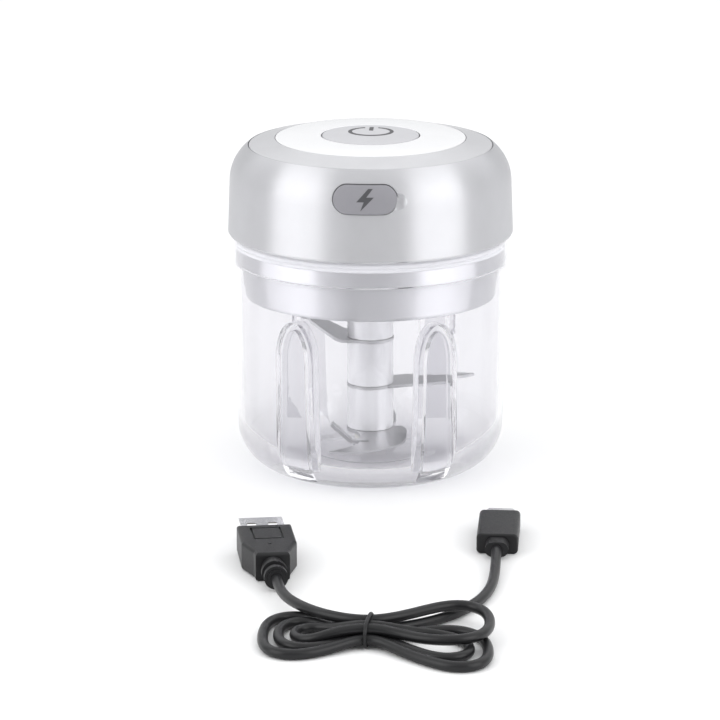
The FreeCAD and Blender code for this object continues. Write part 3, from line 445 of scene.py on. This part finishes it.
cord = smooth_curve("charging_cord", settled(cord_route()), CORD_R, FINISH["cord_black"])
tie = wire_tie()
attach(cord, "bowl")
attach(tie, "bowl")
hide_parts("cord_lead_a", "cord_lead_c", "cord_hank")
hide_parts("cord_tie")


# ---- studio -----------------------------------------------------------------------------------
def towards(azimuth, elevation):
    """Unit vector from the object out to an azimuth and elevation in radians, 0 being the front."""
    level = math.cos(elevation)
    return Vector((math.sin(azimuth) * level, -math.cos(azimuth) * level, math.sin(elevation)))


def floor_material():
    """White light-table top: a matt sheet that glows a little, with a faint cloudiness."""
    glow = 0.02
    finish = Finish("light_table", Specular_IOR_Level=0.1)
    cloud = finish.noise(260.0)
    finish.colour(cloud, (0.86, 0.86, 0.862), (0.88, 0.88, 0.882))
    finish.roughness(cloud, 0.75, 0.9)
    finish.shader.inputs["Emission Color"].default_value = (1, 1, 1, 1)
    finish.shader.inputs["Emission Strength"].default_value = glow
    return finish.material


def floor():
    mesh = bpy.data.meshes.new("floor")
    reach = 4.0
    corners = [(-reach, -reach, 0), (reach, -reach, 0), (reach, reach, 0), (-reach, reach, 0)]
    mesh.from_pydata(corners, [], [(0, 1, 2, 3)])
    piece = bpy.data.objects.new("floor", mesh)
    bpy.context.scene.collection.objects.link(piece)
    mesh.materials.append(floor_material())


def softbox(name, azimuth, elevation, distance, width, height, radiance):
    """Area light that faces the object, with angles in degrees and its brightness as radiance."""
    target = Vector((0, 0, 0.05))
    light = bpy.data.lights.new(name, "AREA")
    light.shape = "RECTANGLE"
    light.size = width
    light.size_y = height
    light.energy = radiance * math.pi * width * height
    lamp = bpy.data.objects.new(name, light)
    bpy.context.scene.collection.objects.link(lamp)
    away = towards(math.radians(azimuth), math.radians(elevation))
    lamp.location = target + distance * away
    lamp.rotation_mode = "QUATERNION"
    lamp.rotation_quaternion = away.to_track_quat("Z", "Y")
    lamp.visible_camera = False


def world():
    """Dim behind the camera and bright behind the object."""
    scene_world = bpy.data.worlds.new("studio")
    scene_world.use_nodes = True
    tree = scene_world.node_tree
    background = tree.nodes["Background"]
    background.inputs["Color"].default_value = (0.98, 0.99, 1.0, 1)
    direction = tree.nodes.new("ShaderNodeTexCoord")
    split = tree.nodes.new("ShaderNodeSeparateXYZ")
    glow = tree.nodes.new("ShaderNodeMapRange")
    ends = {"From Min": -0.2, "From Max": 0.6, "To Min": 0.32, "To Max": 0.72}
    for socket, value in ends.items():
        glow.inputs[socket].default_value = value
    tree.links.new(direction.outputs["Generated"], split.inputs[0])
    tree.links.new(split.outputs["Y"], glow.inputs["Value"])
    tree.links.new(glow.outputs[0], background.inputs["Strength"])
    bpy.context.scene.world = scene_world


def camera():
    """Long lens from a little above and a touch to the right."""
    azimuth = math.radians(2.4)
    elevation = math.radians(15)
    distance = 1.150
    aside = -0.00305
    target = Vector((0, 0, 0.031))
    right = Vector((math.cos(azimuth), math.sin(azimuth), 0))
    back = towards(azimuth, elevation)
    data = bpy.data.cameras.new("camera")
    data.lens = 196.05
    data.sensor_width = 36
    data.clip_end = 20
    eye = bpy.data.objects.new("camera", data)
    bpy.context.scene.collection.objects.link(eye)
    eye.location = target + distance * back + aside * right
    eye.rotation_mode = "QUATERNION"
    eye.rotation_quaternion = back.to_track_quat("Z", "Y")
    bpy.context.scene.camera = eye


floor()
world()
camera()
softbox("overhead", azimuth=0, elevation=90, distance=1.4, width=5.0, height=5.0, radiance=0.76)
for side, turn in (("left", -60), ("right", 60)):
    softbox("strip_" + side, azimuth=turn, elevation=14, distance=1.2, width=1.0, height=1.2,
            radiance=2.55)
bpy.context.scene.view_settings.view_transform = "Standard"
